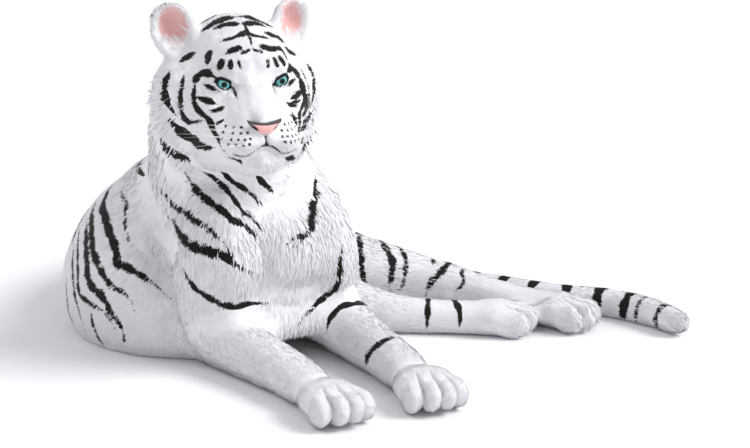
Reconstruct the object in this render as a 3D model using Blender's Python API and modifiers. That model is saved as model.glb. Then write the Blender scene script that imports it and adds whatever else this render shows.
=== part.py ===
"""White tiger at rest, life size: forequarters up on the elbows, hips rolled on to the right side.

Metres, +Z up. The chest faces -Y and +X is the animal's left. The body is modelled whole, from limbs lofted
along its bones and ellipsoids for its muscles, blended by voxel remeshing, and then parted by thin cuts.
The outline is that of the coat's tips. The origin is the middle of the body's footprint, on the floor.
"""

import math

import bmesh
import bpy
import numpy as np
from mathutils import Euler, Matrix, Vector

# Driving sizes of a large male Bengal tiger.
EYE_RADIUS = 0.0185
CUT = 0.0004  # width of the thin cuts between neighbouring pieces
PRESSED = 0.002  # what is lower than this lies flat on the floor
SPECK = 0.00001  # corners nearer than this after a cut are one corner
BROAD_VOXEL = 0.012
FINE_VOXEL = 0.005
TRIANGLES = {"head": 1500, "feet": 950, "body": 1750}

# The head's seat on the neck: its own axes are X left, -Y to the nose, Z up, as the body's are.
HEAD_PLACE = Vector((-0.092, -0.035, 0.592))
HEAD_TURN = Euler((math.radians(2), 0, math.radians(-10)))
HEAD = Matrix.Translation(HEAD_PLACE) @ HEAD_TURN.to_matrix().to_4x4()
EYE = Vector((0.060, -0.112, 0.036))
NOSE = Vector((0, -0.205, -0.045))

# Joint centres, from the shoulder blades back to the hips and down each leg.
SCAPULA = {"right": (-0.130, 0.080, 0.395), "left": (0.075, 0.100, 0.385)}
SHOULDER = {"right": (-0.150, -0.060, 0.270), "left": (0.078, -0.060, 0.260)}
ELBOW = {"right": (-0.150, 0.025, 0.066), "left": (0.128, 0.010, 0.070)}
WRIST = {"right": (-0.118, -0.310, 0.048), "left": (0.112, -0.315, 0.048)}
FOREPAW = {"right": (-0.118, -0.485, 0.036), "left": (0.088, -0.505, 0.036)}
HIP = {"right": (0.215, 0.640, 0.110), "left": (0.290, 0.630, 0.200)}
KNEE = {"right": (0.120, 0.305, 0.080), "left": (0.285, 0.275, 0.100)}
HOCK = {"right": (0.275, 0.002, 0.045), "left": (0.510, 0.075, 0.060)}
HINDPAW = {"right": (0.492, -0.148, 0.034), "left": (0.645, -0.178, 0.036)}

# Rows of x, y, z, half width, then reach above and below that centre.
TRUNK = [
    (-0.010, -0.090, 0.270, 0.100, 0.100, 0.110),
    (-0.015, -0.030, 0.235, 0.165, 0.200, 0.200),
    (-0.035, 0.070, 0.150, 0.210, 0.330, 0.165),
    (-0.074, 0.180, 0.110, 0.252, 0.360, 0.160),
    (-0.106, 0.280, 0.100, 0.248, 0.325, 0.160),
    (-0.100, 0.390, 0.100, 0.215, 0.255, 0.140),
    (-0.045, 0.500, 0.110, 0.195, 0.215, 0.140),
    (0.050, 0.595, 0.125, 0.180, 0.185, 0.140),
    (0.165, 0.655, 0.135, 0.170, 0.175, 0.145),
    (0.280, 0.672, 0.135, 0.155, 0.165, 0.145),
    (0.375, 0.655, 0.125, 0.110, 0.125, 0.125),
]
NECK = [
    (-0.030, 0.090, 0.300, 0.180, 0.190),
    (-0.056, 0.090, 0.400, 0.172, 0.195),
    (-0.078, 0.072, 0.490, 0.155, 0.175),
    (-0.090, 0.036, 0.565, 0.132, 0.128),
]
TAIL = [
    (0.395, 0.645, 0.115, 0.064, 0.062),
    (0.465, 0.570, 0.068, 0.047, 0.047),
    (0.522, 0.440, 0.041, 0.040, 0.040),
    (0.565, 0.290, 0.036, 0.036, 0.036),
    (0.598, 0.150, 0.034, 0.034, 0.034),
    (0.658, 0.034, 0.034, 0.034, 0.034),
    (0.708, -0.060, 0.034, 0.034, 0.034),
    (0.785, -0.148, 0.034, 0.034, 0.034),
    (0.828, -0.262, 0.034, 0.034, 0.034),
    (0.832, -0.372, 0.033, 0.030, 0.030),
]

COLOURS = {
    "white_coat": (0.86, 0.85, 0.83, 1.0),
    "iris": (0.10, 0.35, 0.38, 1.0),
    "nose_leather": (0.72, 0.38, 0.36, 1.0),
}


def clear_scene():
    for old in list(bpy.data.objects):
        bpy.data.objects.remove(old)


def smooth_path(stations, per_span):
    """Catmull-Rom through rows of numbers, so that position and radii all change smoothly."""
    rows = np.array(stations, float)
    padded = np.vstack([2 * rows[0] - rows[1], rows, 2 * rows[-1] - rows[-2]])
    t = np.linspace(0, 1, per_span, endpoint=False)[:, None]
    spans = []
    for a, b, c, d in zip(padded, padded[1:], padded[2:], padded[3:]):
        cubic = -a + 3 * b - 3 * c + d
        square = 2 * a - 5 * b + 4 * c - d
        spans.append(0.5 * (2 * b + (c - a) * t + square * t**2 + cubic * t**3))
    return np.vstack([*spans, rows[-1]])


def section(sides, above, below):
    """A unit outline of superellipses, above and below its middle. A power of 2 is round, less is pointed."""
    angle = np.linspace(0, 2 * math.pi, sides, endpoint=False)
    power = np.where(np.sin(angle) > 0, above, below)
    across = np.sign(np.cos(angle)) * np.abs(np.cos(angle)) ** (2 / power)
    height = np.sign(np.sin(angle)) * np.abs(np.sin(angle)) ** (2 / power)
    return across, height


def loft(bm, stations, upward=(0, 0, 1), upward_end=None, above=2.0, below=2.0, sides=28, per_span=6):
    """A tapering limb with rounded ends, whose section turns from upward to upward_end along it."""
    rows = smooth_path(stations, per_span)
    centres, wide, tall = rows[:, :3], rows[:, 3], rows[:, 4]
    deep = rows[:, 5] if rows.shape[1] > 5 else tall
    along = np.gradient(centres, axis=0)
    along /= np.linalg.norm(along, axis=1)[:, None]
    share = np.linspace(0, 1, len(rows))[:, None]
    up = np.array(upward, float) * (1 - share) + np.array(upward_end or upward, float) * share
    side = np.cross(up, along)
    side /= np.linalg.norm(side, axis=1)[:, None]
    up = np.cross(along, side)
    across, height = section(sides, above, below)
    scales = np.array([0.2, 0.55, 0.85])
    caps = np.sqrt(1 - scales**2)
    steps = [(0, -out, scale) for out, scale in zip(caps, scales)]
    steps += [(i, 0.0, 1.0) for i in range(len(rows))]
    steps += [(len(rows) - 1, out, scale) for out, scale in zip(caps[::-1], scales[::-1])]
    rings = []
    for i, out, scale in steps:
        middle = centres[i] + along[i] * min(wide[i], tall[i]) * 0.8 * out
        reach = np.where(height > 0, tall[i], deep[i]) * height
        ring = middle + (across[:, None] * side[i] * wide[i] + reach[:, None] * up[i]) * scale
        rings.append([bm.verts.new(point) for point in ring])
    for first, second in zip(rings, rings[1:]):
        for k in range(sides):
            after = (k + 1) % sides
            bm.faces.new((first[k], first[after], second[after], second[k]))
    bm.faces.new(rings[0][::-1])
    bm.faces.new(rings[-1])


def ball(bm, centre, radii, turn=(0, 0, 0), place=None):
    """An ellipsoid. turn is in degrees about X, Y and Z, and place carries it from the head's or paw's axes."""
    rotation = Euler([math.radians(a) for a in turn]).to_matrix().to_4x4()
    matrix = Matrix.Translation(centre) @ rotation @ Matrix.Diagonal((*radii, 1))
    matrix = (place or Matrix.Identity(4)) @ matrix
    bmesh.ops.create_uvsphere(bm, u_segments=32, v_segments=20, radius=1.0, matrix=matrix)


def pair(bm, centre, radii, turn=(0, 0, 0)):
    """The same form on both sides of the head's middle plane."""
    ball(bm, centre, radii, turn, HEAD)
    x, y, z = centre
    tilt, lean, swing = turn
    ball(bm, (-x, y, z), radii, (tilt, -lean, -swing), HEAD)


def new_object(name, bm):
    mesh = bpy.data.meshes.new(name)
    bmesh.ops.recalc_face_normals(bm, faces=bm.faces)
    bm.to_mesh(mesh)
    bm.free()
    made = bpy.data.objects.new(name, mesh)
    bpy.context.scene.collection.objects.link(made)
    return made


def apply_modifiers(obj):
    graph = bpy.context.evaluated_depsgraph_get()
    mesh = bpy.data.meshes.new_from_object(obj.evaluated_get(graph))
    obj.modifiers.clear()
    obj.data = mesh


def blended(name, bm, voxel, rounds):
    """One skin over all the shapes in bm, with the creases between them rounded."""
    obj = new_object(name, bm)
    remesh = obj.modifiers.new("blend", "REMESH")
    remesh.mode = "VOXEL"
    remesh.voxel_size = voxel
    smooth = obj.modifiers.new("round", "SMOOTH")
    smooth.factor = 0.5
    smooth.iterations = rounds
    apply_modifiers(obj)
    return obj


def between(start, end, share, width, height, lift=0.0):
    """A station part of the way from one joint to the next."""
    point = Vector(start).lerp(Vector(end), share) + Vector((0, 0, lift))
    return (*point, width, height)


def upper_arm(side):
    """Shoulder blade, point of the shoulder and humerus."""
    return [
        (*SCAPULA[side], 0.075, 0.085),
        (*SHOULDER[side], 0.084, 0.105),
        between(SHOULDER[side], ELBOW[side], 0.55, 0.084, 0.100),
        (*ELBOW[side], 0.076, 0.078),
    ]


def forearm(side):
    return [
        (*ELBOW[side], 0.074, 0.068),
        between(ELBOW[side], WRIST[side], 0.25, 0.073, 0.070, 0.004),
        between(ELBOW[side], WRIST[side], 0.65, 0.061, 0.058),
        (*WRIST[side], 0.056, 0.050),
        between(WRIST[side], FOREPAW[side], 0.5, 0.062, 0.048),
    ]


def thigh(side):
    return [
        (*HIP[side], 0.115, 0.105),
        between(HIP[side], KNEE[side], 0.5, 0.120, 0.098),
        (*KNEE[side], 0.092, 0.082),
    ]


def shank(side):
    return [
        (*KNEE[side], 0.090, 0.082),
        between(KNEE[side], HOCK[side], 0.35, 0.082, 0.076),
        between(KNEE[side], HOCK[side], 0.75, 0.058, 0.060),
        (*HOCK[side], 0.050, 0.054),
    ]


def hind_foot(side):
    return [
        (*HOCK[side], 0.048, 0.050),
        between(HOCK[side], HINDPAW[side], 0.35, 0.044, 0.042, -0.003),
        between(HOCK[side], HINDPAW[side], 0.85, 0.054, 0.041),
    ]


def foot_place(joint, centre):
    """The paw's own axes: -Y runs on from the joint above it."""
    ahead = Vector(centre) - Vector(joint)
    turn = math.atan2(ahead.x, -ahead.y)
    return Matrix.Translation(centre) @ Matrix.Rotation(turn, 4, "Z")


def paw(bm, joint, centre, width):
    """A broad foot with four toes in an arc, the middle two the furthest forward."""
    place = foot_place(joint, centre)
    ball(bm, (0, 0.006, 0.006), (width * 0.52, 0.078, 0.042), place=place)
    for step in (-1.5, -0.5, 0.5, 1.5):
        outer = abs(step) > 1
        centre_of_toe = (step * width * 0.235, -0.034 if outer else -0.052, -0.002 if outer else 0.004)
        ball(bm, centre_of_toe, (width * 0.160, 0.044, 0.034), (0, 0, step * 7), place)


def broad_head(bm):
    """Cranium, cheeks, ruff, jaw and the wedge of the muzzle."""
    ball(bm, (0, 0.015, 0.050), (0.118, 0.120, 0.108), place=HEAD)
    ball(bm, (0, -0.060, 0.050), (0.098, 0.080, 0.080), (20, 0, 0), HEAD)
    pair(bm, (0.078, -0.040, -0.010), (0.070, 0.082, 0.072), (0, 0, 14))
    ball(bm, (0, -0.110, -0.012), (0.070, 0.098, 0.062), (32, 0, 0), HEAD)
    ball(bm, (0, -0.138, -0.065), (0.088, 0.082, 0.062), place=HEAD)
    pair(bm, (0.060, -0.105, -0.060), (0.050, 0.065, 0.055), (0, 0, 14))
    ball(bm, (0, -0.128, -0.112), (0.066, 0.078, 0.056), (10, 0, 0), HEAD)
    pair(bm, (0.050, -0.070, -0.095), (0.070, 0.090, 0.065), (0, 0, 18))
    ball(bm, (0, -0.020, -0.080), (0.115, 0.110, 0.095), place=HEAD)
    pair(bm, (0.112, 0.010, -0.038), (0.073, 0.080, 0.115), (0, 6, 0))
    pair(bm, (0.085, 0.000, -0.105), (0.080, 0.080, 0.074), (0, -25, 0))


def fine_head(bm):
    """Brows, bridge of the nose, whisker pads, chin and the tip of the nose."""
    pair(bm, (0.050, -0.096, 0.068), (0.034, 0.026, 0.018), (10, 0, 20))
    ball(bm, (0, -0.118, 0.014), (0.040, 0.075, 0.034), (38, 0, 0), HEAD)
    ball(bm, (0, -0.166, -0.026), (0.040, 0.060, 0.032), (34, 0, 0), HEAD)
    pair(bm, (0.040, -0.166, -0.078), (0.050, 0.050, 0.040), (8, 0, 18))
    ball(bm, (0, -0.158, -0.126), (0.048, 0.044, 0.032), (16, 0, 0), HEAD)
    ball(bm, (0, -0.192, -0.054), (0.038, 0.028, 0.028), (20, 0, 0), HEAD)


def ears(bm):
    """Round ears, a little cupped, facing forward and outward."""
    for side in (-1, 1):
        place = ear_place(side)
        outer = bmesh.new()
        ball(outer, (0, 0, 0), (0.052, 0.028, 0.066), place=place)
        shell = new_object("ear", outer)
        inner = bmesh.new()
        ball(inner, (0, -0.024, 0.006), (0.038, 0.026, 0.050), place=place)
        hollow = new_object("ear_hollow", inner)
        scoop = shell.modifiers.new("scoop", "BOOLEAN")
        scoop.operation = "DIFFERENCE"
        scoop.object = hollow
        apply_modifiers(shell)
        bpy.data.objects.remove(hollow)
        bm.from_mesh(shell.data)
        bpy.data.objects.remove(shell)


def whole_body():
    """Broad forms first, then the head's features, legs, feet and tail blended on more finely."""
    bm = bmesh.new()
    loft(bm, TRUNK, (0, 0, 1), (0.10, 0.45, 0.88), above=1.65, below=3.2)
    loft(bm, NECK, (0, 1, 0.2))
    ball(bm, (-0.020, -0.065, 0.240), (0.130, 0.095, 0.140))
    ball(bm, (0.210, 0.620, 0.155), (0.170, 0.130, 0.155))
    for side in ("right", "left"):
        loft(bm, upper_arm(side), (0, 1, 0))
        loft(bm, thigh(side))
        loft(bm, shank(side))
        loft(bm, forearm(side))
    broad_head(bm)
    broad = blended("broad", bm, BROAD_VOXEL, 7)
    bm = bmesh.new()
    fine_head(bm)
    for side in ("right", "left"):
        loft(bm, hind_foot(side))
        paw(bm, WRIST[side], FOREPAW[side], 0.136)
        paw(bm, HOCK[side], HINDPAW[side], 0.122)
    loft(bm, TAIL)
    ears(bm)
    bm.from_mesh(broad.data)
    bpy.data.objects.remove(broad)
    return blended("body", bm, FINE_VOXEL, 6)


def points_of(mesh):
    co = np.empty(len(mesh.vertices) * 3, np.float32)
    mesh.vertices.foreach_get("co", co)
    return co.reshape(-1, 3)


def flatten_underside(obj):
    """What rests on the floor is pressed flat at one level."""
    co = points_of(obj.data)
    co[co[:, 2] < PRESSED, 2] = 0
    obj.data.vertices.foreach_set("co", co.ravel())


def zones(co):
    """Which vertices are the head's, the feet's and the rest's."""
    local = (co - np.array(HEAD_PLACE)) / (0.21, 0.24, 0.24)
    head = np.linalg.norm(local, axis=1) < 1
    feet = np.zeros(len(co), bool)
    for centre, reach in zip([*FOREPAW.values(), *HINDPAW.values()], (0.15, 0.15, 0.125, 0.125)):
        feet |= np.linalg.norm(co - np.array(centre), axis=1) < reach
    return {"head": head, "feet": feet & ~head, "body": ~head & ~feet}


def thin(obj):
    """Fewer faces, each zone down to its own count, and then the edges between the zones too."""
    for zone, target in {**TRIANGLES, "whole": sum(TRIANGLES.values())}.items():
        mesh = obj.data
        inside = zones(points_of(mesh)).get(zone, np.ones(len(mesh.vertices), bool))
        corners = np.empty(len(mesh.loops), np.int32)
        mesh.loops.foreach_get("vertex_index", corners)
        total = len(mesh.loops) - 2 * len(mesh.polygons)
        held = total * inside[corners].mean()
        group = obj.vertex_groups.new(name=zone)
        group.add(np.flatnonzero(inside).tolist(), 1.0, "REPLACE")
        decimate = obj.modifiers.new("thin", "DECIMATE")
        decimate.ratio = (total - held + target) / total
        decimate.vertex_group = zone
        apply_modifiers(obj)
        obj.vertex_groups.clear()


def box(size, place, grow=0.0):
    """A cutter. size is how far it reaches along its own axes: low x, high x, low y, high y, low z, high z."""
    low, high = Vector(size[0::2]), Vector(size[1::2])
    bm = bmesh.new()
    bmesh.ops.create_cube(bm, size=1.0)
    reach = high - low + Vector((2, 2, 2)) * grow
    bm.transform(place @ Matrix.Translation((low + high) / 2) @ Matrix.Diagonal((*reach, 1)))
    return new_object("cutter", bm)


def ellipsoid(radii, place, grow=0.0):
    bm = bmesh.new()
    size = Vector(radii) + Vector((1, 1, 1)) * grow
    matrix = place @ Matrix.Diagonal((*size, 1))
    bmesh.ops.create_uvsphere(bm, u_segments=12, v_segments=8, radius=1.0, matrix=matrix)
    return new_object("cutter", bm)


def boolean(obj, cutter, operation):
    cut = obj.modifiers.new("cut", "BOOLEAN")
    cut.operation = operation
    cut.object = cutter
    apply_modifiers(obj)
    bpy.data.objects.remove(cutter)
    bm = bmesh.new()
    bm.from_mesh(obj.data)
    bmesh.ops.remove_doubles(bm, verts=bm.verts, dist=SPECK)
    bmesh.ops.dissolve_degenerate(bm, edges=bm.edges, dist=SPECK)
    bm.to_mesh(obj.data)
    bm.free()


def carve(body, name, shape, size, place):
    """The part of the body inside the cutter becomes its own object, with a thin cut all round it."""
    piece = bpy.data.objects.new(name, body.data.copy())
    bpy.context.scene.collection.objects.link(piece)
    boolean(piece, shape(size, place), "INTERSECT")
    boolean(body, shape(size, place, CUT), "DIFFERENCE")
    return piece


def inlay(body, name, radii, place):
    """An ellipsoid set into the body, such as an eye in its socket."""
    piece = ellipsoid(radii, place)
    piece.name = name
    boolean(body, ellipsoid(radii, place, CUT), "DIFFERENCE")
    return piece


def along(start, end):
    """Axes with -Y from start towards end and X level, placed at start."""
    ahead = Vector(end) - Vector(start)
    turn = ahead.to_track_quat("-Y", "Z").to_matrix().to_4x4()
    return Matrix.Translation(start) @ turn


def ear_place(side):
    tilt = Euler((math.radians(-6), math.radians(24 * side), math.radians(20 * side)))
    return HEAD @ Matrix.Translation((0.125 * side, 0.020, 0.121)) @ tilt.to_matrix().to_4x4()


def hind_axes():
    """-Y runs down both thighs, and X points from the right thigh to the left one."""
    down = sum((Vector(KNEE[side]) - Vector(HIP[side]) for side in HIP), Vector()).normalized()
    middle = {side: (Vector(KNEE[side]) + Vector(HIP[side])) / 2 for side in HIP}
    across = middle["left"] - middle["right"]
    across = (across - down * across.dot(down)).normalized()
    upward = across.cross(-down)
    turn = Matrix((across, -down, upward)).transposed().to_4x4()
    return Matrix.Translation((middle["left"] + middle["right"]) / 2) @ turn


def parted(body):
    """The named pieces, from the tips inwards. What is left at the end is the trunk."""
    pieces = []
    for side, sign in (("right", -1), ("left", 1)):
        eye = HEAD @ Matrix.Translation((EYE.x * sign, EYE.y, EYE.z))
        pieces.append(inlay(body, f"eye_{side}", (EYE_RADIUS,) * 3, eye))
        pieces.append(carve(body, f"ear_{side}", ellipsoid, (0.062, 0.046, 0.076), ear_place(sign)))
    nose = HEAD @ Matrix.Translation(NOSE) @ Matrix.Rotation(math.radians(20), 4, "X")
    pieces.append(inlay(body, "nose", (0.033, 0.020, 0.019), nose))
    for side in ("right", "left"):
        reach = (-0.10, 0.10, -0.16, 0.065, -0.10, 0.10)
        pieces.append(carve(body, f"forepaw_{side}", box, reach, foot_place(WRIST[side], FOREPAW[side])))
        length = (Vector(HINDPAW[side]) - Vector(HOCK[side])).length
        reach = (-0.075, 0.069, -0.16, length, -0.10, 0.12)
        pieces.append(carve(body, f"hind_foot_{side}", box, reach, foot_place(HOCK[side], HINDPAW[side])))
    joints = [Vector(TAIL[i][:3]) for i in (1, 3, 7, 9)]
    lengths = {"tip": (-0.076, 0.12), "middle": (-0.076, 0.03), "base": (-0.067, 0.03)}
    for (name, (inner, past)), start, end in zip(lengths.items(), joints[-2::-1], joints[:0:-1]):
        reach = (inner, 0.085, -(end - start).length - past, 0.0, -0.07, 0.07)
        pieces.append(carve(body, f"tail_{name}", box, reach, along(start, end)))
    for side in ("right", "left"):
        reach = (-0.10, 0.10, -0.50, -0.15, -0.10, 0.09)
        pieces.append(carve(body, f"forearm_{side}", box, reach, along(ELBOW[side], WRIST[side])))
    for side in ("left", "right"):
        span = (Vector(HOCK[side]) - Vector(KNEE[side])).length
        reach = (-0.10, 0.085, -span - 0.03, -0.12 * span, -0.13, 0.13)
        pieces.append(carve(body, f"shank_{side}", box, reach, along(KNEE[side], HOCK[side])))
    pieces.append(carve(body, "thigh_left", box, (0.028, 0.30, -0.27, 0.09, -0.25, 0.14), hind_axes()))
    pieces.append(carve(body, "thigh_right", box, (-0.16, 0.028, -0.27, 0.09, -0.25, 0.14), hind_axes()))
    lean = Matrix.Translation((-0.065, 0, 0.10)) @ Matrix.Rotation(math.radians(-14), 4, "Y")
    pieces.append(carve(body, "upper_foreleg_right", box, (-0.25, 0, -0.20, 0.13, -0.15, 0.27), lean))
    lean = Matrix.Translation((0.046, 0, 0.10)) @ Matrix.Rotation(math.radians(-6), 4, "Y")
    pieces.append(carve(body, "upper_foreleg_left", box, (0, 0.25, -0.21, 0.125, -0.15, 0.25), lean))
    nape = Matrix.Translation((-0.09, 0.01, 0.545)) @ Matrix.Rotation(math.radians(49), 4, "X")
    pieces.append(carve(body, "head", box, (-0.30, 0.30, -0.30, 0.30, 0, 0.45), nape))
    withers = Matrix.Translation((-0.05, 0.05, 0.43)) @ Matrix.Rotation(math.radians(30), 4, "X")
    pieces.append(carve(body, "neck", box, (-0.32, 0.32, -0.32, 0.34, 0, 0.40), withers))
    body.name = "trunk"
    return [*pieces, body]


def finish(pieces):
    """Colours, shading and one collection, with the origin moved to the middle of the footprint."""
    group = bpy.data.collections.new("white_tiger")
    bpy.context.scene.collection.children.link(group)
    corners = np.vstack([points_of(piece.data) for piece in pieces])
    middle = (corners.min(0) + corners.max(0)) / 2
    for piece in pieces:
        kind = {"eye": "iris", "nose": "nose_leather"}.get(piece.name.split("_")[0], "white_coat")
        coat = bpy.data.materials.new(piece.name)
        coat.use_nodes = True
        coat.diffuse_color = COLOURS[kind]
        shader = coat.node_tree.nodes["Principled BSDF"]
        shader.inputs["Base Color"].default_value = COLOURS[kind]
        shader.inputs["Roughness"].default_value = 0.8 if kind == "white_coat" else 0.25
        shader.inputs["Metallic"].default_value = 0.0
        piece.data.materials.clear()
        piece.data.materials.append(coat)
        piece.data.transform(Matrix.Translation((-middle[0], -middle[1], 0)))
        piece.data.shade_smooth()
        piece.data.set_sharp_from_angle(angle=math.radians(50))
        for holder in list(piece.users_collection):
            holder.objects.unlink(piece)
        group.objects.link(piece)


def main():
    clear_scene()
    body = whole_body()
    flatten_underside(body)
    thin(body)
    flatten_underside(body)
    finish(parted(body))


main()
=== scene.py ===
"""Looks of the white tiger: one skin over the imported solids, its coat in tufts, eyes, nose and whiskers."""

import math

import bmesh
import bpy
import numpy as np
from mathutils import Euler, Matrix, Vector
from mathutils.bvhtree import BVHTree


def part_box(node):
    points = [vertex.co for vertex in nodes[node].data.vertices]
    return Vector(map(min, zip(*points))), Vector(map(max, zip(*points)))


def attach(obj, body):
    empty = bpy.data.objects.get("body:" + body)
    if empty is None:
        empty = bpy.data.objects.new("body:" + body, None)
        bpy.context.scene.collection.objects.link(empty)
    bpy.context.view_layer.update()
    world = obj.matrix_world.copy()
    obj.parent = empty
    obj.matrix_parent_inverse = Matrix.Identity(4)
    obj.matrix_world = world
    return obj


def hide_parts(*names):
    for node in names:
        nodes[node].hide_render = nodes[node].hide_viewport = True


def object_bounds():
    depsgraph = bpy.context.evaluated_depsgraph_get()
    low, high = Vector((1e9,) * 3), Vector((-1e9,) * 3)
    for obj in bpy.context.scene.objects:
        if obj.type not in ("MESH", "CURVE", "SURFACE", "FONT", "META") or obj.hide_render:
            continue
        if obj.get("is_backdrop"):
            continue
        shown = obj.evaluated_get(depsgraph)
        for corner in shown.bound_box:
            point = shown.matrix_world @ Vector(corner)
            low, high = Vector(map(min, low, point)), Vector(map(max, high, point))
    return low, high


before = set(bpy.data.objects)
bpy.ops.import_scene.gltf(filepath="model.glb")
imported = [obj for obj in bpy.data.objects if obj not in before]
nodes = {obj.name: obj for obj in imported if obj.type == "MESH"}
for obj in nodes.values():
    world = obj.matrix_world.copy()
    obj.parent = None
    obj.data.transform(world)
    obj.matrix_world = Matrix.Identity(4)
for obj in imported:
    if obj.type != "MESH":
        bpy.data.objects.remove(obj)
cad_low, cad_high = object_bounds()
chance = np.random.default_rng(7)


# The skin: one soft hide over head, body, legs and tail. It lies under the tips of the coat by the
# coat's own depth: the hair lies flat, so that is 3 mm on the nose and feet and 7 mm on the neck and ruff.
SKIN_VOXEL = 0.005
CLOSE_CUTS = 0.0006  # each solid grows by this, so that the thin cuts between them close
BODY_TRIANGLES = 53000  # left on the nape, trunk, legs and tail
SKIN_CLEARS = 0.0002  # of the floor
HEAD_REACH = (0.215, 0.24, 0.25)  # the head's half breadths along its own axes
PAWS = {  # how broad the foot is, its middle, and the joint above it
    "forepaw_right": (0.136, (-0.375, -0.597, 0.036), (-0.375, -0.422, 0.048)),
    "forepaw_left": (0.136, (-0.169, -0.617, 0.036), (-0.145, -0.427, 0.048)),
    "hind_foot_right": (0.122, (0.235, -0.260, 0.034), (0.018, -0.110, 0.045)),
    "hind_foot_left": (0.122, (0.388, -0.290, 0.036), (0.253, -0.037, 0.060)),
}
PAW_REACH = 0.10  # the foot's radius from its middle, where the hair is shortest
FOOT_REACH = 0.13  # its toes and heel lie within this
TOE_STEP = 0.235  # of the foot's breadth, from toe to toe
TOE_FAN = 7.0  # degrees that each toe turns out from its neighbour
TOE_GROOVE = 0.0085  # its depth
TOE_RISE = 0.0055
HEAD_TILT = math.radians(2)
EYE_SEAT = np.array((0.060, -0.112, 0.036))  # in the head's own axes: x left, -y to the nose, z up


def middle_of(name):
    low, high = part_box(name)
    return (np.array(low) + np.array(high)) / 2


across = middle_of("eye_left") - middle_of("eye_right")
HEAD_TURN = math.atan2(across[1], across[0])
HEAD_AXES = np.array(Euler((HEAD_TILT, 0, HEAD_TURN)).to_matrix())  # columns are the head's x, y and z
HEAD_ORIGIN = (middle_of("eye_left") + middle_of("eye_right")) / 2 - HEAD_AXES @ (EYE_SEAT * (0, 1, 1))


def to_head(points):
    """Points of the frame in the head's own axes: the dot products with its three axes from its origin."""
    return (points - HEAD_ORIGIN) @ HEAD_AXES


def from_head(points):
    return np.asarray(points) @ HEAD_AXES.T + HEAD_ORIGIN


def both_sides(local):
    """The head's own points with x turned positive, so that one rule serves its two sides."""
    return np.c_[np.abs(local[:, 0]), local[:, 1:]]


def lengths(vectors, axis=1):
    return np.linalg.norm(vectors, axis=axis)


def ramp(value, low, high):
    """0 below low, 1 above high, and a smooth S between them."""
    t = np.clip((value - low) / (high - low), 0, 1)
    return t * t * (3 - 2 * t)


def bump(points, centre, radii):
    """A round hill: exp(-d^2) of the distance d from centre, measured in radii along each axis."""
    return np.exp(-(((points - centre) / radii) ** 2).sum(1))


def unit(vectors):
    return vectors / np.maximum(np.linalg.norm(vectors, axis=-1, keepdims=True), 1e-9)


def rows_of(items, key, width, kind=np.float32):
    """One property of all the vertices, edges, loops or faces, as a row of numbers for each."""
    flat = np.empty(len(items) * width, kind)
    items.foreach_get(key, flat)
    return flat.reshape(-1, width)


def vertices_of(mesh):
    return rows_of(mesh.vertices, "co", 3).astype(float)


def normals_of(mesh):
    return rows_of(mesh.vertices, "normal", 3).astype(float)


def put(mesh, points):
    mesh.vertices.foreach_set("co", points.astype(np.float32).ravel())
    mesh.update()


def placed(name, data):
    """A new object of the scene that holds this mesh, camera or lamp."""
    obj = bpy.data.objects.new(name, data)
    bpy.context.scene.collection.objects.link(obj)
    return obj


def baked(obj):
    """The object's mesh with its modifiers applied."""
    graph = bpy.context.evaluated_depsgraph_get()
    mesh = bpy.data.meshes.new_from_object(obj.evaluated_get(graph))
    obj.modifiers.clear()
    obj.data = mesh
    return mesh


def softened(obj, weights, rounds):
    """Each vertex moves half way to the mean of its neighbours, times its weight, for a number of rounds."""
    group = obj.vertex_groups.new(name="soft")
    levels = np.round(np.clip(weights, 0, 1) * 10).astype(int)
    for level in range(1, 11):
        group.add(np.flatnonzero(levels == level).tolist(), level / 10, "REPLACE")
    smooth = obj.modifiers.new("soften", "SMOOTH")
    smooth.factor = 0.5
    smooth.iterations = rounds
    smooth.vertex_group = "soft"
    baked(obj)
    obj.vertex_groups.clear()


def thinned(obj, inside, target):
    """Fewer triangles where inside is true, until target of them are left there."""
    group = obj.vertex_groups.new(name="thin")
    group.add(np.flatnonzero(inside).tolist(), 1.0, "REPLACE")
    corners = rows_of(obj.data.loops, "vertex_index", 1, np.int32)[:, 0]
    total = len(obj.data.loops) - 2 * len(obj.data.polygons)
    held = total * inside[corners].mean()
    decimate = obj.modifiers.new("thin", "DECIMATE")
    decimate.ratio = (total - held + target) / total
    decimate.vertex_group = "thin"
    baked(obj)
    obj.vertex_groups.clear()


def on_head(points):
    return lengths(to_head(points) / HEAD_REACH)


def on_paws(points):
    near = [lengths(points - middle_of(name)) for name in PAWS]
    return np.min(near, axis=0) / PAW_REACH


def to_paw(points, name):
    """Points in a foot's own axes: x across it, y back from its middle to the joint above, z up."""
    breadth, middle, joint = PAWS[name]
    back = unit((np.array(joint) - middle) * (1, 1, 0))
    moved = points - middle
    return np.c_[moved @ np.cross(back, (0, 0, 1)), moved @ back, moved[:, 2]]


def near_wrists(points):
    """1 where a foot runs on into its leg, 40 to 120 mm behind the foot's middle, and 0 elsewhere."""
    share = np.zeros(len(points))
    for name in PAWS:
        local = to_paw(points, name)
        close = lengths(local * (1, 0, 1)) < 0.085
        behind = ramp(local[:, 1], 0.010, 0.045) * (1 - ramp(local[:, 1], 0.12, 0.16))
        share = np.maximum(share, close * behind)
    return share


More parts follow.
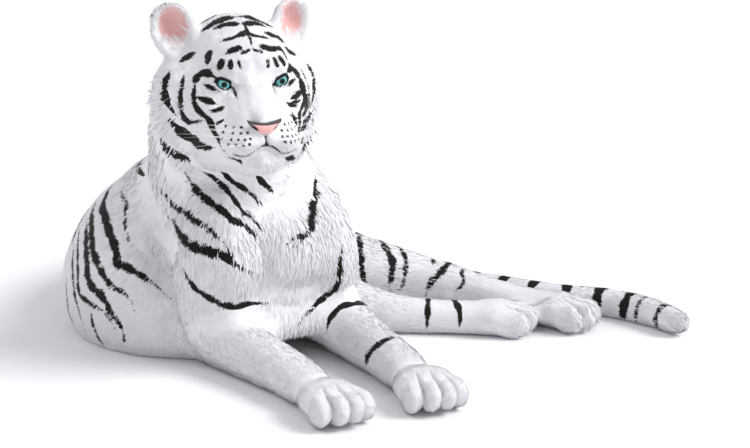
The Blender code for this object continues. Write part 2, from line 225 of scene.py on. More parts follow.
def toe_shape(points):
    """How far the skin rises on the feet: four round toes, the middle two the further forward, and between
    them three grooves, deepest at the front and gone by the foot's middle."""
    rise = np.zeros(len(points))
    for name, (breadth, middle, joint) in PAWS.items():
        local = to_paw(points, name)
        close = lengths(local) < FOOT_REACH
        for step in (-1.5, -0.5, 0.5, 1.5):
            toe = (step * breadth * TOE_STEP * 1.05, -0.046 if abs(step) > 1 else -0.064, 0.004)
            rise += TOE_RISE * bump(local, toe, (0.016, 0.026, 0.030)) * close
        for step in (-1, 0, 1):
            line = step * breadth * TOE_STEP - (local[:, 1] + 0.045) * math.tan(math.radians(TOE_FAN * step))
            cut = np.exp(-(((local[:, 0] - line) / 0.0034) ** 2)) * ramp(-local[:, 1], 0.004, 0.040)
            rise -= TOE_GROOVE * cut * close
    return rise


def split_edges(mesh, wanted):
    """Halves every edge whose two ends are wanted, so each triangle there becomes four."""
    bm = bmesh.new()
    bm.from_mesh(mesh)
    edges = [edge for edge in bm.edges if wanted[edge.verts[0].index] and wanted[edge.verts[1].index]]
    bmesh.ops.subdivide_edges(bm, edges=edges, cuts=1, use_grid_fill=True)
    bmesh.ops.triangulate(bm, faces=bm.faces)
    bm.to_mesh(mesh)
    bm.free()


flesh = sorted(name for name in nodes if name.split("_")[0] not in ("eye", "nose"))
bm = bmesh.new()
for name in nodes:
    bm.from_mesh(nodes[name].data)
bmesh.ops.remove_doubles(bm, verts=bm.verts, dist=0.00001)
hide = bpy.data.meshes.new("skin")
bm.to_mesh(hide)
bm.free()
skin = placed("skin", hide)
grow = skin.modifiers.new("close_cuts", "DISPLACE")
grow.strength = CLOSE_CUTS
grow.mid_level = 0
remesh = skin.modifiers.new("one_hide", "REMESH")
remesh.mode = "VOXEL"
remesh.voxel_size = SKIN_VOXEL
co = vertices_of(baked(skin))
softened(skin, np.ones(len(co)), 4)
co = vertices_of(skin.data)
softened(skin, ramp(np.minimum(on_head(co), on_paws(co)), 0.95, 1.25), 20)
co = vertices_of(skin.data)
softened(skin, near_wrists(co), 120)
co = vertices_of(skin.data)
local = to_head(co)
nape = (local[:, 1] > 0.01) & (local[:, 2] < 0.09)
thinned(skin, ((on_head(co) > 0.92) | nape) & (on_paws(co) > 1), BODY_TRIANGLES)

# Finer triangles on the toes and the face, and finer again round the eyes, nose and mouth.
co = vertices_of(skin.data)
ahead = np.zeros(len(co), bool)
for name in PAWS:
    ahead |= (to_paw(co, name)[:, 1] < 0.01) & (lengths(to_paw(co, name)) < 0.12)
split_edges(skin.data, ahead & (co[:, 2] > 0.008))
side = both_sides(to_head(vertices_of(skin.data)))
face = (side[:, 1] < -0.070) & (side[:, 0] < 0.105) & (side[:, 2] > -0.160) & (side[:, 2] < 0.080)
split_edges(skin.data, face)
side = both_sides(to_head(vertices_of(skin.data)))
eye_zone = (lengths(side - EYE_SEAT) < 0.036) & (side[:, 1] < -0.105)
mouth_zone = (side[:, 1] < -0.165) & (side[:, 0] < 0.050) & (side[:, 2] > -0.115) & (side[:, 2] < -0.015)
split_edges(skin.data, eye_zone | mouth_zone)


def coat_depth(points):
    """How far the skin lies under the tips: thin on muzzle, feet and ears, deepest on the ruff and neck."""
    local = to_head(points)
    head = on_head(points)
    side = np.abs(local[:, 0])
    body = 0.0035 + 0.0035 * np.exp(-(((head - 1.15) / 0.35) ** 2))
    ruff = 0.0032 + 0.0040 * ramp(side + 0.35 * local[:, 1], 0.055, 0.115) * ramp(-local[:, 2], -0.06, 0.0)
    ears = ramp(local[:, 2], 0.115, 0.14) * ramp(side, 0.06, 0.085)
    face = ruff * (1 - ears) + 0.0015 * ears
    depth = face + (body - face) * ramp(head, 0.9, 1.15)
    depth += (0.003 - depth) * (1 - ramp(on_paws(points), 0.8, 1.6))
    return depth * ramp(points[:, 2], 0.001, 0.012)


co = vertices_of(skin.data)
put(skin.data, co - normals_of(skin.data) * coat_depth(co)[:, None])
softened(skin, ramp(on_head(co), 0.7, 1.0) * 0.5 + 0.2, 3)

# Lids, brows, muzzle, mouth and chin, drawn out of the hide by hills and grooves in the head's axes.
EYE_RADIUS = 0.0180
EYE_PLACE = EYE_SEAT + (0.0, 0.004, 0.0)  # the eyeball lies a little deeper than its seat
GAZE = unit(np.array((0.10, -1.0, -0.04)))
LID_SLANT = math.radians(24)  # the outer corner of the eye is the higher one
LID_HALF = math.radians(64)  # from the middle of the opening to its corners
LID_UP = math.radians(24)
LID_DOWN = math.radians(28)
LID_EDGE = 0.0010  # the lids' edge stands off the eyeball by this
LID_THICK = 0.0030


def lid_axes():
    """Gaze, the line through the eye's corners outwards, and the way up between them, for the left eye."""
    level = unit(np.cross((0, 0, 1), GAZE) * -1)
    level = level if level[0] > 0 else -level
    upward = np.cross(GAZE, level)
    upward = upward if upward[2] > 0 else -upward
    outward = level * math.cos(LID_SLANT) + upward * math.sin(LID_SLANT)
    return GAZE, outward, unit(np.cross(outward, GAZE) * np.sign(np.cross(outward, GAZE)[2]))


def lid_opening(angle):
    """Upper and lower edge of the almond at an angle from its middle: a flattened parabola each."""
    share = np.clip(1 - (angle / LID_HALF) ** 2, 0, 1)
    return LID_UP * share**0.75, -LID_DOWN * share**0.9


def arc(share):
    """The angle whose sine is share, carried on as a straight line past 0.95."""
    near = np.clip(share, -0.95, 0.95)
    return np.arcsin(near) + share - near


def with_lids(local):
    """Skin before each eye goes back along the gaze: inside the almond to behind the eyeball, round it on to
    a shell of the lids' thickness, and from there it rises to the face again within 16 mm."""
    shaped = local.copy()
    gaze, outward, upward = lid_axes()
    mirror = np.where(local[:, :1] > 0, (1.0, 1.0, 1.0), (-1.0, 1.0, 1.0))
    ray = local * mirror - EYE_PLACE
    ahead = ray @ gaze
    beside = (ray**2).sum(1) - ahead**2
    turn = arc(ray @ outward / EYE_RADIUS)
    rise = arc(ray @ upward / EYE_RADIUS)
    top, bottom = lid_opening(turn)
    past = EYE_RADIUS * np.maximum(np.maximum(rise - top, bottom - rise), np.abs(turn) - LID_HALF)
    inner = EYE_RADIUS * 0.72 + (EYE_RADIUS * 0.28 + LID_EDGE) * ramp(past, -0.0022, 0.0002)
    lid = EYE_RADIUS + LID_EDGE + (LID_THICK - LID_EDGE) * ramp(past, 0.0002, 0.005)
    lid -= 0.0012 * np.exp(-(((past - 0.0075) / 0.0016) ** 2)) * (rise > 0)
    behind = np.sqrt(np.maximum(inner**2 - beside, (0.2 * EYE_RADIUS) ** 2))
    shell = np.sqrt(np.maximum(lid**2 - beside, (0.5 * EYE_RADIUS) ** 2))
    target = np.where(past < 0.0002, behind, shell + (ahead - shell) * ramp(past, 0.003, 0.016))
    near = (ahead > 0) & (beside < 0.045**2)
    ray += gaze * (target - ahead)[:, None]
    shaped[near] = ((ray + EYE_PLACE) * mirror)[near]
    return shaped, np.where(near, past, 1.0)


def mouth_height(side):
    """The closed lips' height at a distance from the middle: down to the side of the pad, then level."""
    return -0.075 - 0.020 * ramp(side, 0.004, 0.042) + 0.004 * ramp(side, 0.050, 0.070)


def with_face(local):
    """Adds each hill or hollow of the face along its own direction."""
    side = both_sides(local)
    shaped = side.copy()
    hills = [  # centre, reach along each axis, and how far the skin moves there
        ((0.056, -0.120, 0.066), (0.030, 0.030, 0.013), (0.0, -0.010, 0.000)),
        ((0.034, -0.132, 0.022), (0.013, 0.030, 0.026), (0.0, 0.008, 0.0)),
        ((0.000, -0.120, 0.065), (0.013, 0.040, 0.036), (0.0, 0.005, 0.0)),
        ((0.085, -0.100, -0.010), (0.025, 0.040, 0.022), (0.003, -0.004, 0.0)),
        ((0.035, -0.205, -0.069), (0.025, 0.035, 0.019), (0.003, -0.012, 0.0)),
        ((0.000, -0.195, -0.114), (0.034, 0.045, 0.019), (0.0, -0.017, -0.001)),
        ((0.061, -0.180, -0.120), (0.015, 0.045, 0.020), (-0.002, 0.009, 0.0)),
        ((0.000, -0.165, -0.158), (0.080, 0.060, 0.015), (0.0, 0.034, 0.006)),
        ((0.070, -0.160, -0.045), (0.016, 0.035, 0.024), (-0.003, 0.006, 0.0)),
        ((0.000, -0.205, -0.044), (0.034, 0.030, 0.016), (0.0, 0.015, 0.0)),
        ((0.026, -0.205, -0.020), (0.010, 0.040, 0.030), (0.0, 0.004, 0.0)),
    ]
    for centre, radii, move in hills:
        shaped += bump(side, centre, radii)[:, None] * move
    front = ramp(-side[:, 1], 0.10, 0.15)
    gap = side[:, 2] - mouth_height(side[:, 0])
    lips = np.exp(-((gap / 0.0034) ** 2)) * front * ramp(-side[:, 0], -0.072, -0.060)
    shaped[:, 1] += 0.010 * lips
    shaped[:, 1] += 0.006 * np.exp(-(((gap + 0.009) / 0.007) ** 2)) * front * ramp(-side[:, 0], -0.070, -0.03)
    groove = np.exp(-((side[:, 0] / 0.0026) ** 2)) * ramp(-side[:, 2], 0.050, 0.058)
    groove *= ramp(side[:, 2], -0.081, -0.073)
    shaped[:, 1] += 0.006 * groove * front
    shaped[:, 0] *= np.where(local[:, 0] > 0, 1, -1)
    return shaped, lips + groove * front


def with_ears(local, facing):
    """Hollows the front of each ear: skin that faces forwards goes back, most in the middle of the cup."""
    side = both_sides(local)
    cup = bump(side * (1, 0, 1), (0.126, 0.0, 0.138), (0.030, 1.0, 0.034)) * ramp(side[:, 2], 0.095, 0.115)
    cup *= ramp(-facing[:, 1], 0.0, 0.4)
    shaped = local.copy()
    shaped[:, 1] += 0.020 * cup
    return shaped


co = vertices_of(skin.data)
near_head = on_head(co) < 1
local = with_ears(to_head(co), normals_of(skin.data) @ HEAD_AXES)
local, lips = with_face(local)
local, lid_gap = with_lids(local)
co[near_head] = from_head(local)[near_head]
put(skin.data, co)
co += normals_of(skin.data) * (toe_shape(co) * ramp(co[:, 2], 0.002, 0.014))[:, None]
put(skin.data, np.c_[co[:, :2], np.maximum(co[:, 2], SKIN_CLEARS)])
softened(skin, np.where(near_head, ramp(lid_gap, 0.003, 0.007) * (1 - ramp(lid_gap, 0.016, 0.026)), 0), 5)


# The lie of the coat: it runs from the nose back over the head, down the neck and chest, along the
# flanks to the rump, and down each leg and the tail. Bones give the directions, each for its own flesh.
BONES = {
    "body": (0.20, [(-0.347, -0.076, 0.565), (-0.335, -0.040, 0.490), (-0.313, -0.015, 0.400),
                    (-0.300, 0.000, 0.310), (-0.300, 0.030, 0.220), (-0.325, 0.085, 0.150),
                    (-0.358, 0.168, 0.120), (-0.357, 0.278, 0.115), (-0.302, 0.388, 0.115),
                    (-0.207, 0.483, 0.125), (-0.092, 0.543, 0.135), (0.023, 0.560, 0.135),
                    (0.118, 0.543, 0.125)]),
    "foreleg_right": (0.085, [(-0.387, -0.032, 0.395), (-0.407, -0.172, 0.270), (-0.407, -0.087, 0.066),
                              (-0.375, -0.422, 0.048), (-0.375, -0.597, 0.036)]),
    "foreleg_left": (0.085, [(-0.182, -0.012, 0.385), (-0.179, -0.172, 0.260), (-0.129, -0.102, 0.070),
                             (-0.145, -0.427, 0.048), (-0.169, -0.617, 0.036)]),
    "hind_leg_right": (0.095, [(-0.042, 0.528, 0.110), (-0.137, 0.193, 0.080), (0.018, -0.110, 0.045),
                               (0.235, -0.260, 0.034)]),
    "hind_leg_left": (0.095, [(0.033, 0.518, 0.200), (0.028, 0.163, 0.100), (0.253, -0.037, 0.060),
                              (0.388, -0.290, 0.036)]),
    "tail": (0.042, [(0.138, 0.533, 0.115), (0.208, 0.458, 0.068), (0.265, 0.328, 0.041),
                     (0.308, 0.178, 0.036), (0.341, 0.038, 0.034), (0.401, -0.078, 0.034),
                     (0.451, -0.172, 0.034), (0.528, -0.260, 0.034), (0.571, -0.374, 0.034),
                     (0.575, -0.484, 0.033)]),
}
LIE_ROUNDS = 6  # times that each vertex's direction is averaged with its neighbours'
DORSAL = {  # the way to the animal's back, or the top of the limb, at the bone's two ends
    "body": ((0, 1, 0.2), (0.10, 0.45, 0.88)),
    "foreleg_right": ((0, 1, 0), (0, 0, 1)),
    "foreleg_left": ((0, 1, 0), (0, 0, 1)),
    "hind_leg_right": ((0, 0, 1), (0, 0, 1)),
    "hind_leg_left": ((0, 0, 1), (0, 0, 1)),
    "tail": ((0, 0, 1), (0, 0, 1)),
}


def smooth_path(rows, per_span=24):
    """Catmull-Rom: cubics through the rows; the slope at a row is half the step between its neighbours."""
    rows = np.array(rows, float)
    padded = np.vstack([2 * rows[0] - rows[1], rows, 2 * rows[-1] - rows[-2]])
    t = np.linspace(0, 1, per_span, endpoint=False)[:, None]
    spans = []
    for a, b, c, d in zip(padded, padded[1:], padded[2:], padded[3:]):
        bend = (2 * a - 5 * b + 4 * c - d) * t**2 + (3 * b - a - 3 * c + d) * t**3
        spans.append(b + 0.5 * ((c - a) * t + bend))
    return np.vstack([*spans, rows[-1]])


def bone_frame(name):
    """Points along a bone, their distance along it, and the directions ahead, dorsal and to the right."""
    points = smooth_path(BONES[name][1])
    ahead = unit(np.gradient(points, axis=0))
    length = np.concatenate([[0], np.cumsum(lengths(np.diff(points, axis=0)))])
    first, last = (np.array(way, float) for way in DORSAL[name])
    dorsal = np.empty_like(points)
    way = first
    for i, step in enumerate(ahead):
        way = unit(way - step * (way @ step))
        dorsal[i] = way
    right = np.cross(ahead, dorsal)
    last = last - ahead[-1] * (last @ ahead[-1])
    twist = math.atan2(last @ right[-1], last @ dorsal[-1]) * length[:, None] / length[-1]
    dorsal = np.cos(twist) * dorsal + np.sin(twist) * right
    return points, length, ahead, dorsal, np.cross(dorsal, ahead)


FRAMES = {name: bone_frame(name) for name in BONES}


def chunks(count, size=3000):
    return [slice(start, start + size) for start in range(0, count, size)]


def hide_surface():
    triangles = [tuple(face.vertices) for face in skin.data.polygons]
    return BVHTree.FromPolygons(vertices_of(skin.data).tolist(), triangles)


def marked_path(name, stations):
    """Points on the skin: from the bone's point at each distance a ray goes out at the angle given."""
    points, length, ahead, dorsal, right = FRAMES[name]
    rows = smooth_path(stations, 10)
    found = []
    for far, angle in zip(rows[:, 0] / 100, np.radians(rows[:, 1])):
        origin = np.array([np.interp(far, length, points[:, axis]) for axis in range(3)])
        i = int(np.searchsorted(length, far).clip(0, len(length) - 1))
        way = dorsal[i] * math.cos(angle) + right[i] * math.sin(angle)
        hit = surface.ray_cast(Vector(origin), Vector(way))[0]
        if hit is not None:
            found.append(np.array(hit))
    return np.array(found)


# Folds of the hide, each a soft trough: behind the right upper arm, where it presses on the flank, and down
# the chest between the shoulders. A point is cm along the body's bone and degrees round it, from the back.
FOLDS = [  # path, then depth and half breadth in metres
    ([(31, 84), (33, 91), (36, 102), (38, 112), (41, 119), (43, 127), (44, 135)], 0.024, 0.013),
    ([(24, 160), (27, 161), (30, 163), (34, 164)], 0.007, 0.012),
]
surface = hide_surface()
co = vertices_of(skin.data)
sunk = np.zeros(len(co))
for stations, depth, breadth in FOLDS:
    path = marked_path("body", stations)
    taper = np.sin(np.linspace(0.15, np.pi - 0.15, len(path)))
    for part in chunks(len(co), 20000):
        gap = lengths(co[part, None] - path, 2)
        sunk[part] = np.maximum(sunk[part], (depth * taper * np.exp(-((gap / breadth) ** 2))).max(1))
put(skin.data, co - normals_of(skin.data) * sunk[:, None])


def lie_of_coat(points, normals):
    """Sum of the bones' directions, each weighed by (bone's radius / distance)^6, laid flat on the skin."""
    along = np.vstack([FRAMES[name][2][::3] for name in BONES])
    places = np.vstack([FRAMES[name][0][::3] for name in BONES])
    radii = np.concatenate([np.full(len(FRAMES[name][0][::3]), BONES[name][0]) for name in BONES])
    flow = np.empty_like(points)
    for part in chunks(len(points)):
        gap = lengths(points[part, None] - places, 2)
        flow[part] = ((radii / np.maximum(gap, 0.01)) ** 6) @ along
    flow = unit(flow)
    local = to_head(points)
    side = np.abs(local[:, 0])
    from_nose = unit(local - (0, -0.235, -0.020)) + (0, 0.5, 0)
    from_nose[:, 2] -= 1.1 * ramp(side, 0.08, 0.13) * ramp(-local[:, 2], -0.07, 0.02)
    ears = (ramp(local[:, 2], 0.11, 0.135) * ramp(side, 0.06, 0.08))[:, None]
    up_ear = np.c_[0.5 * np.sign(local[:, 0]), np.zeros(len(local)), np.ones(len(local))]
    from_nose = unit(from_nose) * (1 - ears) + up_ear * ears
    share = (1 - ramp(on_head(points), 0.85, 1.15))[:, None]
    flow = flow * (1 - share) + from_nose @ HEAD_AXES.T * share
    for name in PAWS:
        local = to_paw(points, name)
        toes = ramp(-local[:, 1], 0.035, 0.080) * (lengths(local) < FOOT_REACH)
        flow[:, 2] -= 1.6 * toes
    return unit(flow - normals * (flow * normals).sum(1)[:, None])


co = vertices_of(skin.data)
normal = normals_of(skin.data)
lie = lie_of_coat(co, normal)
ends = rows_of(skin.data.edges, "vertices", 2, np.int32)
for _ in range(LIE_ROUNDS):
    total = lie.copy()
    for axis in range(3):
        total[:, axis] += np.bincount(ends[:, 0], lie[ends[:, 1], axis], len(lie))
        total[:, axis] += np.bincount(ends[:, 1], lie[ends[:, 0], axis], len(lie))
    lie = unit(total - normal * (total * normal).sum(1)[:, None])


# Stripes: each runs over the skin from point to point, black on white, tapering to both ends. On the
# body a point is how far along a bone it lies, in cm, and how far round it, in degrees from the back.
ROUND_BODY = {
    # distance along, degrees round (the right side is positive), then half width in mm at the thickest
    "body": [
        ([(25, 46), (28, 64), (38, 84)], 4),
        ([(66, 15), (61, 28), (55, 44), (52, 58), (48, 74), (44, 86), (42, 96), (41, 107), (41, 118)], 9),
        ([(66, 32), (62, 42), (56, 55), (54, 69), (52, 81), (50, 90), (46, 99), (46, 106)], 8),
        ([(62, 48), (57, 60), (55, 72), (54, 85), (52, 93), (51, 102), (50, 110), (51, 119)], 8),
        ([(64, 54), (60, 64), (57, 77), (56, 88), (54, 95), (52, 101), (51, 110)], 5),
        ([(63, 64), (60, 74), (58, 85), (57, 93), (56, 102), (56, 110)], 5),
        ([(54, 99), (54, 109), (54, 119)], 4.5),
        ([(62, 83), (61, 99), (60, 112)], 5),
        ([(70, 38), (67, 52), (64, 66)], 7),
        ([(20, 26), (20, 41), (19, 60)], 5),
        ([(18, 88), (20, 109), (19, 126), (20, 136), (23, 143), (25, 148)], 5.5),
        ([(25, 95), (25, 119), (25, 132), (25, 139), (26, 146), (29, 155)], 8.5),
        ([(30, 122), (32, 128), (33, 135), (34, 143), (34, 152), (34, 162)], 6.5),
        ([(9, 122), (12, 129), (13, 138), (15, 148), (20, 153), (24, 158), (26, 162)], 6.5),
        ([(7, 138), (9, 144), (11, 150), (14, 155), (20, 159), (24, 163)], 5),
        ([(6, 151), (10, 156), (13, 163), (16, 167), (20, 170)], 4.5),
        ([(10, 173), (13, 176), (17, 180)], 5),
        ([(19, 220), (20, 212), (21, 206), (23, 194), (25, 183), (26, 173)], 5),
        ([(21, 207), (23, 195), (25, 185), (25, 176), (26, 170)], 5.5),
        ([(27, 196), (30, 193), (33, 192), (34, 188), (35, 180), (36, 173)], 6),
    ],
    "foreleg_left": [
        ([(55, -20), (59, -60), (59, -93), (60, -145)], 6.5),
        ([(76, -20), (77, -58), (77, -90), (76, -121), (75, -145)], 8.5),
    ],
    "hind_leg_left": [
        ([(44, 30), (45, 13), (46, -17), (47, -45), (48, -78), (50, -112)], 6.5),
        ([(50, 35), (51, 15), (53, -19), (54, -39), (54, -70), (54, -111)], 7),
        ([(53, 40), (55, 20), (57, -30), (57, -85), (55, -118)], 4.5),
        ([(67, 35), (67, -16), (66, -49), (64, -77), (63, -118)], 6),
        ([(63, 15), (64, -30)], 4),
        ([(71, 10), (71, -17), (73, -60), (71, -90)], 4),
    ],
    "hind_leg_right": [
        ([(81, 50), (81, -5), (81, -75), (81, -150)], 5),
        ([(87, 60), (87, 20), (88, -59), (88, -115)], 6),
    ],
}


MOST_GAP = 0.04  # a stripe stops where the skin under it does
BOLD = 1.25  # the hair's spread makes a stripe look narrower than the width given for it


def inked(path, half_width, ends=0.25):
    """Rows of x, y, z and half width every 4 mm along a path, thinning as a rounded wedge at both ends."""
    gaps = lengths(np.diff(path, axis=0))
    length = np.concatenate([[0], np.cumsum(gaps)])
    steps = np.linspace(0, length[-1], max(4, int(length[-1] / 0.004)))
    share = steps / length[-1]
    taper = np.minimum(ramp(share, -ends * 0.4, ends), ramp(1 - share, -ends * 0.4, ends * 1.6))
    wobble = 1 + 0.18 * np.sin(steps * 150 + half_width * 900)
    unbroken = gaps[np.searchsorted(length, steps, side="right").clip(1, len(gaps)) - 1] < MOST_GAP
    places = np.stack([np.interp(steps, length, path[:, axis]) for axis in range(3)], axis=1)
    return places[unbroken], (BOLD * half_width * taper * wobble)[unbroken]


surface = hide_surface()
ink = [
    inked(marked_path(name, stations), half / 1000)
    for name, marks in ROUND_BODY.items()
    for stations, half in marks
]

# Marks that no view of the front shows: the nape, the left flank and back, the upper tail and the thigh.
for far in (4, 11, 18, 26):
    ring = [(far, 14), (far + 2, -20), (far + 4, -62), (far + 7, -104)]
    ink.append(inked(marked_path("body", ring), 0.009))
LEFT_FLANK = [  # cm along the body, and degrees round to the stripe's lower end
    (46, -66), (64, -62), (74, -70), (84, -80), (93, -96), (102, -108), (111, -112)
]
for far, low in LEFT_FLANK:
    wave = 6 * math.sin(far)
    ink.append(inked(marked_path("body", [(far, -4 + wave), (far + 1, low / 2), (far + 3, low)]), 0.010))
for far in (78, 85, 92, 99, 106, 113, 120):
    ink.append(inked(marked_path("body", [(far + 2, 4), (far, 34), (far - 3, 70), (far - 6, 105)]), 0.009))
TAIL_RINGS = [(far, 9, 170) for far in range(18, 84, 8)]
TAIL_RINGS += [(90, 10, 150), (98, 9, 150), (102, 4, 150), (109, 6, 150)]
for far, half, reach in TAIL_RINGS:
    ring = [(far, -reach), (far + 1, -80), (far + 1, 0), (far + 1, 80), (far, reach)]
    ink.append(inked(marked_path("tail", ring), half / 1000, 0.1))
for far in (8, 15, 22, 29, 36):
    ink.append(inked(marked_path("hind_leg_left", [(far, 20), (far + 1, 70), (far + 3, 110)]), 0.007))
for name in ("foreleg_right", "foreleg_left"):
    for far in (47, 56, 66):
        ink.append(inked(marked_path(name, [(far, 90), (far + 2, 130), (far + 3, 165)]), 0.006))

# On the head a point is in mm in the head's own axes, and most marks are the same on both sides.
ON_BOTH_SIDES = [
    ([(2, -40, 142), (30, -31, 140), (58, -27, 130)], 6.5),
    ([(0, -58, 133), (10, -72, 127), (28, -76, 121), (52, -69, 112)], 6),
    ([(16, -107, 106), (37, -105, 102), (54, -102, 92)], 5.5),
    ([(2, -113, 102), (26, -117, 95)], 4),
    ([(31, -126, 86), (29, -131, 64)], 3.5),
    ([(47, -119, 88), (48, -127, 65)], 5),
    ([(63, -110, 86), (68, -117, 66)], 6.5),
    ([(50, -116, 33), (46, -118, 30), (43, -128, 24), (40, -138, 16), (37, -147, 6)], 2.8),
    ([(74, -112, 46), (84, -104, 52)], 3),
    ([(80, -70, 94), (86, -84, 70)], 8.5),
    ([(110, -84, 32), (106, -79, 46), (94, -84, 55), (78, -108, 52)], 7.5),
    ([(112, -86, 38), (120, -100, 6), (116, -112, -18), (98, -138, -36), (88, -156, -62),
      (70, -186, -88)], 5.5),
    ([(124, -45, 44), (129, -59, 22), (129, -65, -17), (119, -71, -43), (102, -122, -38)], 6),
    ([(147, -22, 46), (156, -22, 16), (151, -34, -15), (137, -51, -38)], 7),
    ([(128, -18, 68), (114, -26, 82), (98, -38, 90)], 5.5),
    ([(98, -96, 33), (86, -108, 28), (72, -118, 22)], 4),
    ([(112, -102, 8), (99, -113, 4), (76, -128, -4)], 5),
    ([(94, -126, -17), (79, -135, -14), (63, -141, -5)], 4),
    ([(88, -147, -41), (68, -153, -29)], 3.5),
    ([(157, -44, -50), (130, -70, -80), (104, -120, -90), (90, -152, -88)], 9),
    ([(152, 14, -98), (147, -4, -110), (131, -33, -122), (112, -62, -134)], 9.5),
    ([(0, -8, 152), (40, -8, 150), (80, -14, 132)], 10),
    ([(0, 44, 152), (40, 44, 146), (80, 30, 124)], 8),
    ([(0, 84, 130), (44, 84, 122), (84, 66, 98)], 8),
    ([(160, 30, 40), (164, 36, 0), (150, 30, -50)], 7),
    ([(140, 66, 50), (146, 74, 0), (134, 70, -50)], 8),
    ([(96, 104, 60), (104, 112, 10), (90, 110, -40)], 8),
]
ON_ONE_SIDE = [  # x is positive on the animal's left
    ([(8, -34, 142), (5, -80, 124), (2, -112, 104)], 3.5),
    ([(42, -56, 125), (62, -45, 117), (88, -27, 104), (105, -13, 88)], 5.5),
    ([(26, -107, 104), (47, -102, 99), (82, -64, 86), (92, -70, 66)], 5.5),
    ([(96, -86, 48), (112, -88, 28), (114, -100, 0), (120, -84, -32), (112, -112, -56), (84, -160, -68)], 9),
    ([(72, -136, -12), (104, -112, -9)], 3.5),
    ([(76, -144, -27), (79, -154, -40), (86, -156, -54)], 4),
    ([(46, -190, -104), (76, -139, -125), (100, -100, -135)], 6),
    ([(-70, -183, -97), (-56, -188, -105), (-42, -184, -119)], 5),
]
# Height of each row of whiskers, where it starts and ends beside the middle, and how many there are.
WHISKER_ROWS = [
    (-0.040, 0.046, 0.070, 3),
    (-0.049, 0.036, 0.076, 4),
    (-0.059, 0.034, 0.080, 5),
    (-0.069, 0.038, 0.074, 4),
]
SPOT = 0.0033  # radius of the dark spot at a whisker's root


def on_skin(points):
    return np.array([surface.find_nearest(Vector(point))[0] for point in points])


for marks, sides in ((ON_BOTH_SIDES, (1, -1)), (ON_ONE_SIDE, (1,))):
    for spots, half in marks:
        for side in sides:
            path = smooth_path(np.array(spots) * (side / 1000, 0.001, 0.001), 8)
            ink.append(inked(on_skin(from_head(path)), half / 1000))
whisker_roots = []
for height, inner_x, outer_x, count in WHISKER_ROWS:
    for x in np.linspace(inner_x, outer_x, count):
        for side in (1, -1):
            before = from_head((x * side, -0.30, height - 0.1 * (x - inner_x)))
            hit = surface.ray_cast(Vector(before), Vector(HEAD_AXES @ (0, 1, 0)))
            if hit[0] is not None:
                whisker_roots.append((np.array(hit[0]), np.array(hit[1]), x, height, side))
spot_centres = np.array([root[0] for root in whisker_roots])
ink.append((spot_centres, np.full(len(spot_centres), SPOT)))

CUBE = 0.08  # side of the cubes that space is cut into, to find the stripes near a point
CLEAR = 0.03  # skin this far from every stripe counts as clear of them
ink_places = np.vstack([places for places, widths in ink])
ink_widths = np.concatenate([widths for places, widths in ink])


def to_stripe(points):
    """Distance from the nearest stripe's edge, in metres and negative inside one, worked out cube by cube of
    space against the stripes within 30 mm of the cube; 30 mm where there are none."""
    value = np.full(len(points), CLEAR)
    cubes, member = np.unique(np.floor(points / CUBE).astype(int), axis=0, return_inverse=True)
    order = np.argsort(member.ravel(), kind="stable")
    starts = np.searchsorted(member.ravel()[order], np.arange(len(cubes) + 1))
    for cube, first, last in zip(cubes, starts, starts[1:]):
        low = cube * CUBE - CLEAR
        close = ((ink_places > low) & (ink_places < low + CUBE + 2 * CLEAR)).all(1)
        if close.any():
            for part in chunks(last - first):
                mine = order[first:last][part]
                gap = lengths(points[mine, None] - ink_places[close], 2)
                value[mine] = np.minimum((gap - ink_widths[close]).min(1), CLEAR)
    return value


def coat_length(points):
    """Hair length in metres: 5 mm on the muzzle, 6 on the feet, 21 on the body and up to 45 on the ruff."""
    local = to_head(points)
    head = on_head(points)
    side = np.abs(local[:, 0])
    back = ramp(local[:, 1], -0.20, -0.02)
    face = 0.0055 + 0.010 * back
    ruff = ramp(side + 0.3 * local[:, 1], 0.07, 0.125) * ramp(-local[:, 2], -0.05, 0.01)
    chin = ramp(-local[:, 2], 0.115, 0.14)
    face += 0.030 * ruff + 0.006 * chin * (1 - ruff)
    ears = ramp(local[:, 2], 0.115, 0.14) * ramp(side, 0.06, 0.085)
    face += (0.009 - face) * ears
    fringe = bump(both_sides(local), (0.104, 0.0, 0.118), (0.018, 0.04, 0.030))
    face += 0.024 * ramp(fringe, 0.25, 0.8)
    body = 0.021 + 0.010 * np.exp(-(((head - 1.2) / 0.4) ** 2))
    length = face + (body - face) * ramp(head, 0.9, 1.15)
    length += (0.006 - length) * (1 - ramp(on_paws(points), 0.7, 2.0))
    return length


ALL_BLACK = -0.02  # as deep inside a stripe as this
length = coat_length(co)
stripe = to_stripe(co)


def attribute(mesh, name, values):
    mesh.attributes.new(name, "FLOAT", "POINT").data.foreach_set("value", values.astype(np.float32))


side = both_sides(to_head(co))
facing = (normal @ HEAD_AXES)[:, 1]
near = on_head(co) < 1
upper_ear = ramp(side[:, 2], 0.112, 0.130) * ramp(side[:, 0], 0.07, 0.09)
in_ear = ramp(bump(side * (1, 0, 1), (0.127, 0.0, 0.138), (0.035, 1.0, 0.052)), 0.40, 0.62)
in_ear *= ramp(-facing, 0.0, 0.3) * ramp(side[:, 2], 0.090, 0.106)
ear_spot = ramp(bump(side * (1, 0, 1), (0.128, 0.0, 0.148), (0.024, 1.0, 0.018)), 0.45, 0.60)
ear_back = upper_ear * ramp(facing, 0.05, 0.30) * (1 - ear_spot)
ear_back = np.where(near, ear_back, 0)
stripe += (ALL_BLACK - stripe) * ear_back
eye_line = 0.0034 + 0.0050 * ramp(side[:, 2], 0.034, 0.044)
rim = ramp(eye_line - lid_gap, -0.0005, 0.0008)
dark = np.where(near, np.maximum(rim, ramp(lips, 0.25, 0.6)), 0)
attribute(skin.data, "stripe", stripe)
attribute(skin.data, "pink", in_ear)
attribute(skin.data, "dark", dark)
skin.data.shade_smooth()


